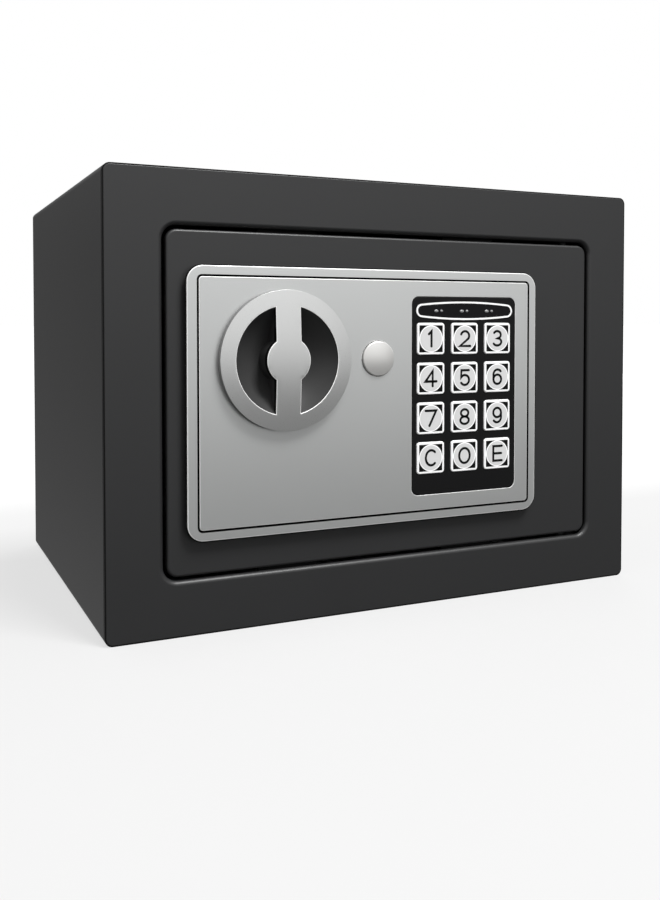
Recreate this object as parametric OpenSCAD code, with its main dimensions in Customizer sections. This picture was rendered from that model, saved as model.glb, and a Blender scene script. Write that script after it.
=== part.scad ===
// Small electronic safe: welded sheet steel cabinet, hinged steel door with a moulded fascia,
// rotary knob that throws two bolts, twelve-key pad, emergency key lock and battery box.
// Frame: origin at the centre of the underside, +Z up, the door faces -Y, millimetres.
// Places marked "depth" are measured inwards (+Y) from the cabinet's front face.

/* [Cabinet] */
// Outside width
body_w = 230; // [226:1:300]
// Outside depth, without the knob
body_d = 170; // [130:5:300]
// Outside height
body_h = 168; // [164:1:220]
// Thickness of the cabinet sheet
wall_t = 2; // [1.6:0.1:2]
// Outside radius of the cabinet's long edges
body_r = 2.8; // [2.2:0.1:4]

/* [Door] */
// Width of the door plate
door_w = 185.5; // [185:0.5:188]
// Height of the door plate
door_h = 124; // [123:0.5:126]
// Thickness of the door plate
door_t = 3; // [3:0.1:3.2]
// Corner radius of the door plate
door_r = 4; // [2:0.5:6]
// Gap between the door and the opening
door_gap = 1.35; // [1.3:0.05:1.8]
// Depth of the door's face
door_recess = 0.4; // [0.3:0.1:0.4]

/* [Fascia] */
// Width of the moulded fascia
fascia_w = 151.6; // [150:0.2:153]
// Height of the moulded fascia
fascia_h = 99.7; // [98:0.1:102]
// How far the fascia stands proud of the cabinet's front
fascia_proud = 3; // [2.6:0.1:3.1]
// Corner radius of the fascia
fascia_r = 6.5; // [4:0.5:9]
// Width of the dark groove round the face plate
groove_w = 0.8; // [0.4:0.1:1.2]

/* [Knob] */
// Outside radius of the knob's ring
knob_r = 26; // [25:0.1:26.5]
// Inside radius of the knob's ring
bowl_r = 20.2; // [19.5:0.1:20.6]
// Width of the grip bar
bar_w = 9.85; // [8:0.05:12]
// Radius of the disc at the middle of the bar
hub_r = 8.6; // [6:0.1:10]

/* [Keypad] */
// Width and height of one key
key_size = 12.6; // [11:0.1:12.8]
// Distance from key to key
key_pitch = 15.8; // [15.6:0.1:16]
// How far a key presses in
key_travel = 0.8; // [0.4:0.1:0.9]

/* [Lock] */
// Radius of each locking bolt
bolt_r = 6; // [4.5:0.5:6]
// How far the bolts are thrown
bolt_throw = 12; // [8:1:12]
// Distance from the middle of the door to each bolt
bolt_offset = 35.8; // [35.8:0.1:36.4]
// Radius of the anchor holes in the floor and the back
anchor_r = 5; // [3:0.5:6]

/* [Hidden] */
$fn = 64;

eps = 0.5;                                     // overshoot of a cutter past the face it opens
front_y = -body_d / 2;                         // row Y of the cabinet's front face
door_z = body_h / 2 + 0.2;                     // height of the door's middle
back_depth = door_recess + door_t;             // depth of the door plate's inner face
lip_r = 1.7;                                   // rounded front edge of the door opening
open_w = door_w + 2 * door_gap;
open_h = door_h + 2 * door_gap;
open_r = door_r + door_gap;

hinge_x = 85.6;                                // the hinge axis: this X and this depth
hinge_depth = 6.6;
hinge_bore_r = 2.05;
hinge_pin_r = 2;
hinge_head_r = 2.5;
barrel_r = 3.2;
barrel_l = 20;
bracket_x0 = 78;                               // the hinge brackets' ends
bracket_x1 = 100;
bracket_depth = 14;
bracket_t = 2;
bracket_gap = 2;                               // from the opening's edge to the bracket's leaf
bracket_rise = 11;                             // from the opening's edge to the bracket's far edge
stop_x = [-45, 35];
stop_half = 12;
stop_t = 1.6;
stop_rise = 8;                                 // from the opening's edge to the stop's far edge
stop_play = 0.2;                               // behind the closed door
mat_t = 1.8;
mat_side = 4;                                  // from the cabinet's sides to the mat
mat_end = 5;                                   // from the front and the back to the mat
mat_hole_r = anchor_r + 2.5;

fascia_x = -10.8;                              // centre of the fascia
fascia_z = door_z - 0.25;
tray_w = 143.9;                                // outer edge of the groove
tray_h = 92.6;
tray_x = -10.55;
tray_z = door_z - 0.3;
tray_r = 2;
fascia_edge = 0.9;                             // rolled edge of the fascia
plate_t = 1.4;                                 // thickness of the face plate
fascia_depth = -fascia_proud;                  // depth of the fascia's face, in front of the body

knob_x = -48.8;
knob_z = door_z + 14.8;
dome_rise = 1.5;                               // how far the dial's face bulges
dial_back = -3.2;
dial_rim = -6;
dome_r = (knob_r * knob_r + dome_rise * dome_rise) / (2 * dome_rise);
bar_back = -6.1;
bowl_out_r = 21.5;
bowl_floor = 3.6;                              // depth of the deepest point of the bowl
bowl_back = 5;
bowl_sag = bowl_floor - bar_back;
dish_r = (bowl_r * bowl_r + bowl_sag * bowl_sag) / (2 * bowl_sag);
bushing_r = 23.4;
bushing_t = 1.2;                               // the bushing's flange, behind the door
bushing_lip = 1.5;
bushing_play = 0.07;
knob_hole_r = bowl_out_r + 0.7;
cam_r = 24.5;
cam_t = 1.5;
crank_arm = bolt_throw / (2 * sin(45));        // a quarter turn moves the crank by the throw
crank_r = 2.5;
crank_play = 0.36;                             // the crank's arc runs this close to the slot
cam_screw_ring = 16;
cam_screw_r = 1.2;
cam_screw_front = 1.5;

panel_x = 29.7;                                // centre of the keypad panel
panel_z = door_z - 0.4;
panel_w = 49.2;
panel_h = 79;
panel_r = 3;
panel_wall = 1.2;
panel_front = fascia_depth - 0.1;
web_back = -1.1;
key_x = 29.4;                                  // centre of the middle column
key_z = door_z + 22.3;                         // centre of the top row
key_front = -3.5;
key_r = 1.25;
key_gap = 0.15;
key_hole_r = 1.4;
flange_size = 13.8;
flange_front = web_back + 0.1;
flange_back = -0.2;
membrane_t = 0.5;
membrane_gap = 0.15;                           // from a key pressed in to the membrane
window_z = door_z + 33.5;
window_w = 45;
window_h = 6.9;
window_end_r = 2.4;
window_proud = 0.2;
window_t = 1.1;
led_x = [17, 29, 40.9];
led_r = 1.5;
led_front = -0.6;                              // where the lamp's dome begins
board_front = 1.6;
board_t = 1.6;

cap_x = -10;                                   // the key lock, under its cap
cap_z = knob_z;
cap_r = 6.75;
cap_hole_r = 6.95;
cap_front = -4.7;
cap_back = -1.65;
cap_rise = 0.8;
barrel_lock_r = 6.2;
barrel_front = -1.5;
plug_r = 4;
plug_bore_r = 4.06;
plug_square = 5;
lock_back = 17.5;
arm_depth = 18;
arm_t = 2;
arm_l = 30;
arm_r = 3.5;
arm_rest = 132;                                // angle of the override arm at rest, from +X

carriage_depth = 10;                           // depth and thickness of the bolt carriage
carriage_t = 2;
bolt_depth = 10.5;
bolt_tip = -90;
bolt_l = 21;
bolt_root = bolt_tip + bolt_l;
upper_z = door_z + bolt_offset;
lower_z = door_z - bolt_offset;
bolt_screw_r = 2;
guide_x = -91.5;
guide_t = 2;
guide_half = 48;
guide_back = 18;
guide_foot_x = -82;
guide_foot_t = 1.5;
guide_foot_half = 18;
slide_fit = 0.08;
stud_x = -60;
stud_z = [door_z - 20.2, door_z + 42.8];
stud_r = 3;
stud_flange = 1.5;                             // how far a stud's shoulders stand out
slot_play = 0.1;

cover_x0 = -86;                                // the inner cover, a shallow tray
cover_x1 = 80;
cover_z0 = door_z - 56.2;
cover_z1 = door_z + 56.2;
cover_back = 28;
cover_t = 1.2;
post_x = [-80.5, 73];
post_dz = 51.3;
post_r = 3.2;
post_screw_r = 1.5;
post_screw_l = 8;

cell_r = 7.2;
cell_l = 49.5;
cell_pitch = 14.7;
cells_x = 40.5;
cells_z = door_z + 0.3;
cell_end = 26;                                 // from the box's middle to a cell's front end
box_floor = 9.6;
box_t = 1.2;
box_half_w = 28.7;
box_half_h = 30.7;
box_x0 = cells_x - box_half_w;
box_x1 = cells_x + box_half_w;
box_z0 = cells_z - box_half_h;
box_z1 = cells_z + box_half_h;
cell_depth = box_floor + box_t + 0.2 + cell_r; // depth of the cells' axes

coil_x = -30;                                  // the solenoid that locks the carriage
coil_depth = 11.3;
coil_r = 6.2;
plunger_r = 3;
plunger_play = 0.2;
carriage_z0 = door_z - 6.2;
plunger_top = carriage_z0 - 0.5;
plunger_travel = 5;
solenoid_z0 = door_z - 48.2;
solenoid_z1 = door_z - 20.2;
collar_z = solenoid_z1 + 7;
notch_w = 6.8;
notch_h = plunger_travel + 0.6;

reset_x = -2;
reset_z = door_z - 39.2;
reset_r = 3.5;
reset_front = 16;                              // depth of the reset switch's front
wire_r = 0.9;

anchor_x = 60;

// A flat shape drawn in (X, Z), extruded from depth y0 to y0 + t.
module slab(y0, t) {
    translate([0, front_y + y0 + t, 0]) rotate([90, 0, 0]) linear_extrude(t) children();
}

// A box from corner a to corner b, both given as [X, depth, Z].
module block(a, b) {
    translate([a[0], front_y + a[1], a[2]]) cube([b[0] - a[0], b[1] - a[1], b[2] - a[2]]);
}

// Round bars that run along X, along the depth and along Z.
module rod_x(x0, l, depth, z, r) {
    translate([x0, front_y + depth, z]) rotate([0, 90, 0]) cylinder(h = l, r = r);
}

module rod_y(x, z, y0, l, r) {
    translate([x, front_y + y0, z]) rotate([-90, 0, 0]) cylinder(h = l, r = r);
}

module rod_z(x, depth, z0, l, r) {
    translate([x, front_y + depth, z0]) cylinder(h = l, r = r);
}

// A rectangle with round corners, centred on (x, z).
module round_rect(x, z, w, h, r) {
    translate([x, z]) {
        square([w - 2 * r, h], center = true);
        square([w, h - 2 * r], center = true);
        for (i = [-1, 1], j = [-1, 1]) translate([i * (w / 2 - r), j * (h / 2 - r)]) circle(r);
    }
}

// Bars round a rectangle's edge at one depth, with ring quarters of corner radius r at the corners.
module edge_roll(x, z, w, h, r, depth, bar_r) {
    for (j = [-1, 1]) rod_x(x - w / 2 + r, w - 2 * r, depth, z + j * h / 2, bar_r);
    for (i = [-1, 1]) rod_z(x + i * w / 2, depth, z - h / 2 + r, h - 2 * r, bar_r);
    for (i = [0, 1], j = [0, 1]) translate([x + (i * 2 - 1) * (w / 2 - r), front_y + depth,
        z + (j * 2 - 1) * (h / 2 - r)]) mirror([1 - i, 0, 0]) mirror([0, 0, 1 - j])
        rotate([90, 0, 0]) rotate_extrude(angle = 90) translate([r, 0]) circle(bar_r, $fn = 32);
}

// A plate with round corners and a rolled front edge of radius e.
module soft_plate(x, z, w, h, r, y0, t, e) {
    slab(y0 + e, t - e) round_rect(x, z, w, h, r);
    slab(y0, t) round_rect(x, z, w - 2 * e, h - 2 * e, r - e);
    edge_roll(x, z, w - 2 * e, h - 2 * e, r - e, y0 + e, e);
}

// ---- cabinet ----

module body_shell() {
    color("dimgray") difference() {
        slab(wall_t, body_d - wall_t) round_rect(0, body_h / 2, body_w, body_h, body_r);
        slab(wall_t - eps, body_d + 2 * eps)
            round_rect(0, body_h / 2, body_w - 2 * wall_t, body_h - 2 * wall_t, body_r - wall_t);
        for (i = [-1, 1]) translate([i * anchor_x, 0, -eps]) cylinder(h = wall_t + 2 * eps, r = anchor_r);
    }
}

module front_frame() {
    color("dimgray") {
        difference() {
            slab(0, wall_t) round_rect(0, body_h / 2, body_w, body_h, body_r);
            slab(-eps, wall_t + 2 * eps) round_rect(0, door_z, open_w + 2 * lip_r,
                open_h + 2 * lip_r, open_r + lip_r);
        }
        intersection() {
            edge_roll(0, door_z, open_w + 2 * lip_r, open_h + 2 * lip_r, open_r + lip_r, lip_r, lip_r);
            block([-body_w, -eps, 0], [body_w, wall_t, body_h]);
        }
    }
}

module back_panel() {
    color("dimgray") difference() {
        slab(body_d - 1 - wall_t, wall_t) round_rect(0, body_h / 2, body_w - 2 * wall_t,
            body_h - 2 * wall_t, body_r - wall_t);
        for (i = [-1, 1]) rod_y(i * anchor_x, body_h / 2, body_d - 2 * wall_t, 3 * wall_t, anchor_r);
    }
}

// An angle welded behind the frame, with a hole for the hinge pin; side is 1 above, -1 below.
module hinge_bracket(side) {
    translate([0, 0, door_z]) mirror([0, 0, side < 0 ? 1 : 0]) difference() {
        union() {
            block([bracket_x0, wall_t, open_h / 2 + bracket_gap],
                [bracket_x1, bracket_depth, open_h / 2 + bracket_gap + bracket_t]);
            block([bracket_x0, wall_t, open_h / 2 + bracket_gap],
                [bracket_x1, 2 * wall_t, open_h / 2 + bracket_rise]);
        }
        rod_z(hinge_x, hinge_depth, open_h / 2, bracket_rise, hinge_pin_r);
    }
}

module hinge_brackets() {
    color("dimgray") for (s = [-1, 1]) hinge_bracket(s);
}

module hinge_pins() {
    reach = 12;
    head_t = 1.6;
    color("silver") for (s = [0, 1]) translate([0, 0, door_z]) mirror([0, 0, s]) {
        rod_z(hinge_x, hinge_depth, door_h / 2 - reach, 18, hinge_pin_r);
        rod_z(hinge_x, hinge_depth, open_h / 2 + bracket_gap + bracket_t, head_t, hinge_head_r);
    }
}

// Tabs behind the opening that the closed door rests on.
module door_stops() {
    front = back_depth + stop_play;
    overlap = 3;
    color("dimgray") for (s = [0, 1], x = stop_x) translate([0, 0, door_z]) mirror([0, 0, s]) {
        block([x - stop_half, wall_t, open_h / 2 + 1], [x + stop_half, front, open_h / 2 + stop_rise]);
        block([x - stop_half, front, door_h / 2 - overlap],
            [x + stop_half, front + stop_t, open_h / 2 + stop_rise]);
    }
}

module floor_mat() {
    color("gray") difference() {
        block([mat_side - body_w / 2, mat_end, wall_t],
            [body_w / 2 - mat_side, body_d - mat_end, wall_t + mat_t]);
        for (i = [-1, 1]) translate([i * anchor_x, 0, 0]) cylinder(h = 3 * wall_t, r = mat_hole_r);
    }
}

// ---- door and fascia ----

module door_plate() {
    color("dimgray") difference() {
        soft_plate(0, door_z, door_w, door_h, door_r, door_recess, door_t, 1);
        rod_y(knob_x, knob_z, -eps, 2 * door_t, bushing_r);
        rod_y(cap_x, cap_z, -eps, 2 * door_t, barrel_lock_r);
        slab(-eps, 2 * door_t) round_rect(panel_x, panel_z, panel_w - 2 * panel_wall,
            panel_h - 2 * panel_wall, panel_r - panel_wall);
    }
}

module hinge_barrels() {
    color("dimgray") for (s = [0, 1]) translate([0, 0, door_z]) mirror([0, 0, s]) difference() {
        union() {
            rod_z(hinge_x, hinge_depth, door_h / 2 - barrel_l, barrel_l, barrel_r);
            block([hinge_x - barrel_r, back_depth, door_h / 2 - barrel_l],
                [hinge_x + barrel_r, hinge_depth, door_h / 2]);
        }
        rod_z(hinge_x, hinge_depth, door_h / 2 - barrel_l - eps, barrel_l + 2 * eps, hinge_bore_r);
    }
}

// The openings that the bezel and the face plate share.
module fascia_openings(knob_opening_r) {
    round_rect(panel_x, panel_z, panel_w, panel_h, panel_r);
    translate([knob_x, knob_z]) circle(knob_opening_r);
    translate([cap_x, cap_z]) circle(cap_hole_r);
}

module tray_outline(inset) {
    round_rect(tray_x, tray_z, tray_w - 2 * inset, tray_h - 2 * inset, tray_r - inset);
}

module fascia_bezel() {
    color("silver") difference() {
        soft_plate(fascia_x, fascia_z, fascia_w, fascia_h, fascia_r, fascia_depth,
            fascia_proud + door_recess, fascia_edge);
        slab(fascia_depth - eps, plate_t + eps) tray_outline(0);
        slab(fascia_depth - eps, 2 * fascia_proud) fascia_openings(bushing_r);
    }
}

module face_plate() {
    color("silver") slab(fascia_depth, plate_t) difference() {
        tray_outline(groove_w);
        fascia_openings(knob_hole_r);
    }
}

// ---- keypad ----

function key_place(column, row) = [key_x + (column - 1) * key_pitch, key_z - row * key_pitch];

// Points along an arc from angle a0 up to, but not at, angle a1.
function arc_points(x, z, r, a0, a1, n) =
    [for (i = [0:n - 1]) let (a = a0 + (a1 - a0) * i / n) [x + r * cos(a), z + r * sin(a)]];

// Two shallow arcs that run smoothly into round ends.
module window_outline(grow) {
    end_x = window_w / 2 - window_end_r;
    arc_r = (end_x * end_x + window_h * window_h / 4 - window_end_r * window_end_r)
        / (window_h - 2 * window_end_r);
    lean = asin(end_x / (arc_r - window_end_r));
    translate([panel_x, window_z]) polygon(concat(
        arc_points(end_x, 0, window_end_r + grow, lean - 90, 90 - lean, 16),
        arc_points(0, window_h / 2 - arc_r, arc_r + grow, 90 - lean, 90 + lean, 24),
        arc_points(-end_x, 0, window_end_r + grow, 90 + lean, 270 - lean, 16),
        arc_points(0, arc_r - window_h / 2, arc_r + grow, 270 - lean, 270 + lean, 24)));
}

module keypad_panel() {
    window_bed = 0.9;
    post_places = [20.5, 35.5];
    opening = key_size + 2 * key_gap;
    color("black") {
        difference() {
            slab(panel_front, door_recess - panel_front)
                round_rect(panel_x, panel_z, panel_w, panel_h, panel_r);
            slab(web_back, 2 * fascia_proud) round_rect(panel_x, panel_z, panel_w - 2 * panel_wall,
                panel_h - 2 * panel_wall, panel_r - panel_wall);
            for (c = [0:2], r = [0:3]) slab(panel_front - eps, fascia_proud)
                round_rect(key_place(c, r)[0], key_place(c, r)[1], opening, opening, key_hole_r);
            slab(panel_front - eps, eps + window_bed) window_outline(0.05);
            for (x = led_x) rod_y(x, window_z, panel_front - eps, 4, led_r + 0.2);
        }
        for (i = [-1, 1], j = [-1, 1]) rod_y(panel_x + i * post_places[0], panel_z + j * post_places[1],
            web_back, board_front - web_back, 1.5);
    }
}

module led_window() {
    color([0.1, 0.1, 0.12]) slab(panel_front - window_proud, window_t) window_outline(0);
}

module status_leds() {
    color("gainsboro") for (x = led_x) {
        rod_y(x, window_z, led_front, board_front - led_front, led_r);
        intersection() {
            translate([x, front_y + led_front, window_z]) sphere(led_r);
            rod_y(x, window_z, led_front - led_r, led_r, led_r);
        }
    }
}

module keypad_key(column, row) {
    p = key_place(column, row);
    color("whitesmoke") {
        slab(key_front, flange_front - key_front) round_rect(p[0], p[1], key_size, key_size, key_r);
        slab(flange_front, flange_back - flange_front)
            round_rect(p[0], p[1], flange_size, flange_size, key_r);
    }
}

module key_1() keypad_key(0, 0);
module key_2() keypad_key(1, 0);
module key_3() keypad_key(2, 0);
module key_4() keypad_key(0, 1);
module key_5() keypad_key(1, 1);
module key_6() keypad_key(2, 1);
module key_7() keypad_key(0, 2);
module key_8() keypad_key(1, 2);
module key_9() keypad_key(2, 2);
module key_c() keypad_key(0, 3);
module key_0() keypad_key(1, 3);
module key_e() keypad_key(2, 3);

module keypad_membrane() {
    front = flange_back + key_travel + membrane_gap;
    color("darkgray") {
        slab(front, membrane_t) round_rect(key_x, key_z - 1.5 * key_pitch, 46, 62.5, 2);
        for (c = [0:2], r = [0:3])
            rod_y(key_place(c, r)[0], key_place(c, r)[1], front + membrane_t, 0.2, 2.5);
    }
}

module circuit_board() {
    board_w = panel_w - 2 * panel_wall - 0.8;
    board_h = panel_h - 2 * panel_wall - 0.8;
    parts_front = board_front + board_t;
    chip = [34, door_z + 12, 10, 2];               // left edge, bottom edge, side, height
    parts = [12, door_z - 10, 2.5, 4, 1.6];        // left edge, bottom edge, width, length, height
    color("darkgreen") {
        slab(board_front, board_t) round_rect(panel_x, panel_z, board_w, board_h, 1);
        block([chip[0], parts_front, chip[1]],
            [chip[0] + chip[2], parts_front + chip[3], chip[1] + chip[2]]);
        for (i = [0:3]) block([parts[0] + 2 * i * parts[2], parts_front, parts[1]],
            [parts[0] + (2 * i + 1) * parts[2], parts_front + parts[4], parts[1] + parts[3]]);
    }
}

module buzzer() {
    place = [42, door_z - 20];
    color("black") rod_y(place[0], place[1], board_front + board_t, 5.5, 6);
}

// ---- lock ----

module bolt_guide() {
    color("lightgray") difference() {
        union() {
            block([guide_x, back_depth, door_z - guide_half],
                [guide_x + guide_t, guide_back, door_z + guide_half]);
            block([guide_x, back_depth, door_z - guide_foot_half],
                [guide_foot_x, back_depth + guide_foot_t, door_z + guide_foot_half]);
        }
        for (z = [upper_z, lower_z])
            rod_x(guide_x - eps, guide_t + 2 * eps, bolt_depth, z, bolt_r + slide_fit);
    }
}

module guide_studs() {
    play = 0.2;
    shoulder = carriage_depth - play;
    head = carriage_depth + carriage_t + play + 0.1;
    color("lightgray") for (z = stud_z) {
        rod_y(stud_x, z, back_depth, shoulder - back_depth, stud_r + stud_flange);
        rod_y(stud_x, z, shoulder, head - shoulder, stud_r);
        rod_y(stud_x, z, head, 1.5, stud_r + stud_flange);
    }
}

module bolt_carriage() {
    back = carriage_depth + carriage_t;
    spine_x = -42;
    web_x = -22;
    tab_x = -10;
    tab_h = 10;
    foot_half = 7.5;
    foot_depths = [7, 16.8];
    head_half = 4.6;                               // room for a bolt screw's head
    crank_x = knob_x + crank_arm * sin(45);
    crank_low = knob_z + crank_arm * cos(45) - crank_r - 0.4;
    crank_high = knob_z + crank_arm + crank_r + 0.4;
    slot_w = crank_r + crank_play;
    color("lightgray") difference() {
        union() {
            block([bolt_root + 2, carriage_depth, lower_z - foot_half], [spine_x, back, stud_z[1] + 5]);
            block([bolt_root + 2, carriage_depth, carriage_z0], [web_x, back, knob_z + 15]);
            block([web_x - 1, carriage_depth, carriage_z0], [tab_x, back, carriage_z0 + tab_h]);
            for (z = [upper_z, lower_z])
                block([bolt_root, foot_depths[0], z - foot_half],
                    [bolt_root + 2, foot_depths[1], z + foot_half]);
            block([bolt_root, carriage_depth, lower_z], [bolt_root + 3, back, upper_z]);
        }
        for (z = stud_z) slab(carriage_depth - eps, 2 * eps + carriage_t) {
            for (x = [0, bolt_throw]) translate([stud_x + x, z]) circle(stud_r + slot_play);
            translate([stud_x, z - stud_r - slot_play]) square([bolt_throw, 2 * (stud_r + slot_play)]);
        }
        block([crank_x - slot_w, carriage_depth - eps, crank_low],
            [crank_x + slot_w, back + eps, crank_high]);
        for (x = [coil_x, coil_x + bolt_throw])
            block([x - notch_w / 2, carriage_depth - eps, carriage_z0 - eps],
                [x + notch_w / 2, back + eps, carriage_z0 + notch_h]);
        for (z = [upper_z, lower_z]) {
            block([bolt_root + 2, carriage_depth - eps, z - head_half],
                [bolt_root + head_half, back + eps, z + head_half]);
            rod_x(bolt_root - eps, 3, bolt_depth, z, bolt_screw_r + 0.1);
        }
    }
}

module lock_bolt(z) {
    screw_hole_l = 9;
    color("silver") difference() {
        rod_x(bolt_tip, bolt_l, bolt_depth, z, bolt_r);
        rod_x(bolt_root - screw_hole_l, screw_hole_l + 1, bolt_depth, z, bolt_screw_r);
        tip_chamfer(z);
    }
}

// Trims the bolt's tip to a shallow cone.
module tip_chamfer(z) {
    translate([bolt_tip - 0.01, front_y + bolt_depth, z]) rotate([0, 90, 0]) difference() {
        translate([0, 0, -eps]) cylinder(h = 1 + eps, r = bolt_r + 1);
        cylinder(h = 1, r1 = bolt_r - 1, r2 = bolt_r);
        translate([0, 0, -2 * eps]) cylinder(h = 2 * eps, r = bolt_r - 1);
    }
}

module bolt_upper() lock_bolt(upper_z);
module bolt_lower() lock_bolt(lower_z);

module bolt_screws() {
    color("silver") for (z = [upper_z, lower_z]) {
        rod_x(bolt_root - 8, 10, bolt_depth, z, bolt_screw_r);
        rod_x(bolt_root + 2, 2.2, bolt_depth, z, 2 * bolt_screw_r);
    }
}

module solenoid_frame() {
    sheet_t = 1.5;
    base_half = 10;
    arm_half = 8;
    arm_back = 18.5;
    color("lightgray") difference() {
        union() {
            block([coil_x - base_half, back_depth, solenoid_z0],
                [coil_x + base_half, back_depth + sheet_t, solenoid_z1]);
            for (z = [solenoid_z0, solenoid_z1 - sheet_t])
                block([coil_x - arm_half, back_depth, z], [coil_x + arm_half, arm_back, z + sheet_t]);
        }
        rod_z(coil_x, coil_depth, solenoid_z1 - 2, 3, plunger_r + plunger_play);
    }
}

module solenoid_coil() {
    end_gap = 1.5;
    core_l = 6;
    color("darkred") difference() {
        rod_z(coil_x, coil_depth, solenoid_z0 + end_gap, solenoid_z1 - solenoid_z0 - 2 * end_gap, coil_r);
        rod_z(coil_x, coil_depth, solenoid_z0 + core_l, solenoid_z1, plunger_r + plunger_play);
    }
}

module solenoid_plunger() {
    plunger_z0 = solenoid_z0 + 6.5;
    collar_t = 1.5;
    push_pin = [3.6, 9.1, 1.2];                    // height over the collar, length, radius
    color("silver") {
        rod_z(coil_x, coil_depth, plunger_z0, plunger_top - plunger_z0, plunger_r);
        rod_z(coil_x, coil_depth, collar_z, collar_t, plunger_r + 1.6);
        rod_y(coil_x, collar_z + push_pin[0], coil_depth, push_pin[1], push_pin[2]);
    }
}

// A round wire's turns, stacked along Z.
module wire_ring(r, wire_r) {
    rotate_extrude() translate([r, 0]) circle(wire_r, $fn = 24);
}

module plunger_spring() {
    pitch = 2;
    color("silver") for (i = [0:3])
        translate([coil_x, front_y + coil_depth, solenoid_z1 + 0.5 + pitch * i]) wire_ring(3.9, 0.5);
}

module knob_bushing() {
    front = fascia_depth + plate_t;
    color("ivory") difference() {
        union() {
            rod_y(knob_x, knob_z, front, back_depth - front + bushing_t, bushing_r);
            rod_y(knob_x, knob_z, back_depth, bushing_t, bushing_r + bushing_lip);
        }
        rod_y(knob_x, knob_z, fascia_depth - eps, 10, bowl_out_r + bushing_play);
    }
}

// The dial's flat shape: ring, bar and hub.
module dial_outline(x, z) {
    translate([x, z]) {
        difference() {
            circle(knob_r, $fn = 128);
            circle(bowl_r, $fn = 128);
        }
        square([bar_w, 2 * bowl_r + 1], center = true);
        circle(hub_r);
    }
}

module dial_dome() {
    translate([knob_x, front_y + dial_rim - dome_rise + dome_r, knob_z]) sphere(dome_r, $fn = 256);
}

module knob_dial() {
    color("silver") intersection() {
        union() {
            slab(bar_back - 2, 2) dial_outline(knob_x, knob_z);
            slab(bar_back - 1, dial_back - bar_back + 1) translate([knob_x, knob_z]) difference() {
                circle(knob_r, $fn = 128);
                circle(bowl_r, $fn = 128);
            }
        }
        dial_dome();
    }
}

// The three screws that hold the cam to the bowl, and the holes they sit in.
module at_cam_screws() {
    for (a = [90, 210, 330])
        translate([knob_x + cam_screw_ring * cos(a), 0, knob_z + cam_screw_ring * sin(a)]) children();
}

module cam_screw_holes(l) {
    at_cam_screws() rod_y(0, 0, cam_screw_front, l, cam_screw_r);
}

module knob_bowl() {
    rim_r = bowl_r - 0.02;
    rib_gap = 0.3;                                 // the rib stands back from the bar's edges
    color("black") difference() {
        union() {
            difference() {
                union() {
                    rod_y(knob_x, knob_z, bar_back, bowl_back - bar_back, rim_r);
                    rod_y(knob_x, knob_z, dial_back, bowl_back - dial_back, bowl_out_r);
                }
                translate([knob_x, front_y + bowl_floor - dish_r, knob_z]) sphere(dish_r, $fn = 128);
            }
            slab(bar_back, bowl_back - bar_back) intersection() {
                translate([knob_x, knob_z]) square([bar_w - 2 * rib_gap, 2 * rim_r], center = true);
                translate([knob_x, knob_z]) circle(rim_r);
            }
            rod_y(knob_x, knob_z, bar_back, bowl_back - bar_back, hub_r - rib_gap);
        }
        cam_screw_holes(5);
    }
}

module drive_cam() {
    crank_l = 8.5;
    color("lightgray") difference() {
        union() {
            rod_y(knob_x, knob_z, bowl_back, cam_t, cam_r);
            rod_y(knob_x + crank_arm * sin(45), knob_z + crank_arm * cos(45), bowl_back, crank_l, crank_r);
        }
        cam_screw_holes(6);
    }
}

module cam_screws() {
    head_t = 1.4;
    color("silver") {
        cam_screw_holes(5);
        at_cam_screws() rod_y(0, 0, bowl_back + cam_t, head_t, 2 * cam_screw_r);
    }
}

module override_cap() {
    crown_r = (cap_r * cap_r + cap_rise * cap_rise) / (2 * cap_rise);
    color("silver") intersection() {
        rod_y(cap_x, cap_z, cap_front - eps, cap_back - cap_front + eps, cap_r);
        translate([cap_x, front_y + cap_front + crown_r, cap_z]) sphere(crown_r, $fn = 128);
    }
}

module lock_barrel() {
    rim_t = 1.2;
    color("silver") difference() {
        union() {
            rod_y(cap_x, cap_z, barrel_front, rim_t, cap_hole_r - 0.1);
            rod_y(cap_x, cap_z, barrel_front, lock_back - barrel_front, barrel_lock_r);
        }
        rod_y(cap_x, cap_z, 2 * barrel_front, lock_back + 4, plug_bore_r);
    }
}

module lock_plug() {
    keyway = [0.7, 12, 2.6];                       // half width, depth of its end, half height
    half = plug_square / 2;
    color("goldenrod") {
        difference() {
            rod_y(cap_x, cap_z, barrel_front, lock_back - barrel_front + 0.4, plug_r);
            block([cap_x - keyway[0], barrel_front - eps, cap_z - keyway[2]],
                [cap_x + keyway[0], keyway[1], cap_z + keyway[2]]);
        }
        block([cap_x - half, lock_back, cap_z - half], [cap_x + half, arm_depth + arm_t + 1, cap_z + half]);
    }
}

module lock_nut() {
    nut_t = 3.6;
    nut_r = 10.5;
    color("silver") difference() {
        translate([cap_x, front_y + back_depth, cap_z]) rotate([-90, 0, 0])
            cylinder(h = nut_t, r = nut_r, $fn = 6);
        rod_y(cap_x, cap_z, back_depth - eps, nut_t + 2 * eps, barrel_lock_r);
    }
}

module lock_cam() {
    boss_r = 6;
    half = plug_square / 2 + 0.05;
    color("lightgray") difference() {
        slab(arm_depth, arm_t) translate([cap_x, cap_z]) {
            circle(boss_r);
            rotate(arm_rest) translate([0, -arm_r]) square([arm_l, 2 * arm_r]);
            rotate(arm_rest) translate([arm_l, 0]) circle(arm_r);
        }
        block([cap_x - half, arm_depth - eps, cap_z - half], [cap_x + half, arm_depth + 3, cap_z + half]);
    }
}

// ---- inner cover, battery box, reset ----

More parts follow.
